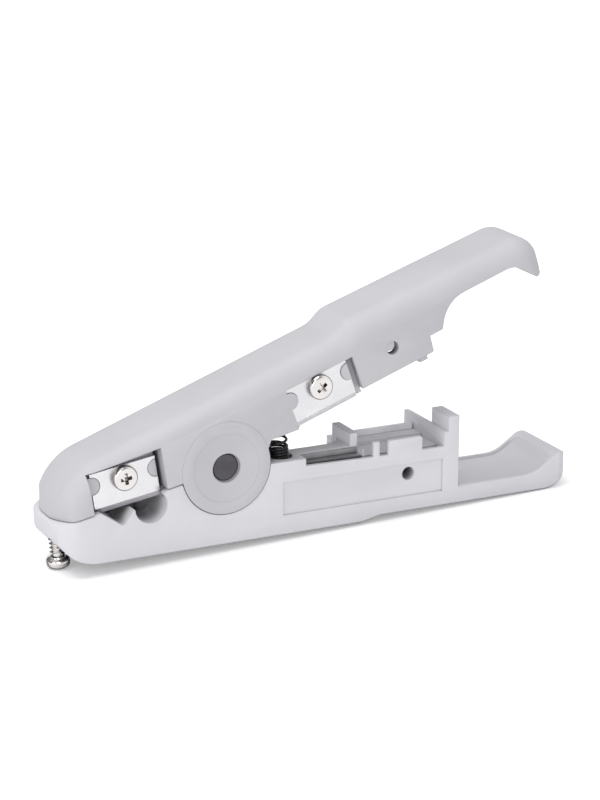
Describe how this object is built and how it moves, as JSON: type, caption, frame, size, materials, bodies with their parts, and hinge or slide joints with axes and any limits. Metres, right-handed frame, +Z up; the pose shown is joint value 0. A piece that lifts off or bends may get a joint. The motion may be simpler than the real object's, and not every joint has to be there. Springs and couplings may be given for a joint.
{
  "type": "cable stripper",
  "caption": "Hand stripper and cutter for network cable: two moulded handles on a sprung pivot, with screwed-on blades, notched jaws and a depth screw.",
  "frame": {"origin": "on the flat underside of the lower handle, straight below the pivot axis, midway across the width", "axes": "+X along the lower handle to the grips, +Z up, +Y across to the far side"},
  "size_m": [0.1238, 0.0201, 0.0623],
  "materials": {
    "handle_plastic": "light grey moulded plastic, satin",
    "blade_steel": "ground bright steel",
    "anvil_steel": "dull ground steel, seen in the shade of the tray",
    "screw_nickel": "nickel plated",
    "pin_steel": "dark blackened steel, matt",
    "spring_black": "black oxide wire"
  },
  "bodies": {
    "lower": {"lower_handle": "handle_plastic", "pivot_pin": "pin_steel", "return_spring": "spring_black", "cutter_anvil": "anvil_steel", "lower_flat_blade": "blade_steel"},
    "upper": {"upper_handle": "handle_plastic", "stripping_blade": "blade_steel", "cutter_blade": "blade_steel", "stripping_blade_screw": "screw_nickel", "cutter_blade_screw": "screw_nickel", "upper_flat_blade": "blade_steel"},
    "depth_adjuster": {"depth_screw": "screw_nickel"}
  },
  "joints": [
    {"name": "handle_pivot", "type": "hinge", "parent": "lower", "child": "upper", "pos_m": [0, 0, 0.0173], "axis": [0, 1, 0], "range_deg": [0, 20], "stiffness_Nm_per_rad": 0.4, "springref_deg": -20.05, "deforming": ["return_spring"]},
    {"name": "depth_screw_travel", "type": "slide", "parent": "lower", "child": "depth_adjuster", "axis": [-0.0872, 0, 0.9962], "range_m": [-0.002, 0.0004]}
  ]
}
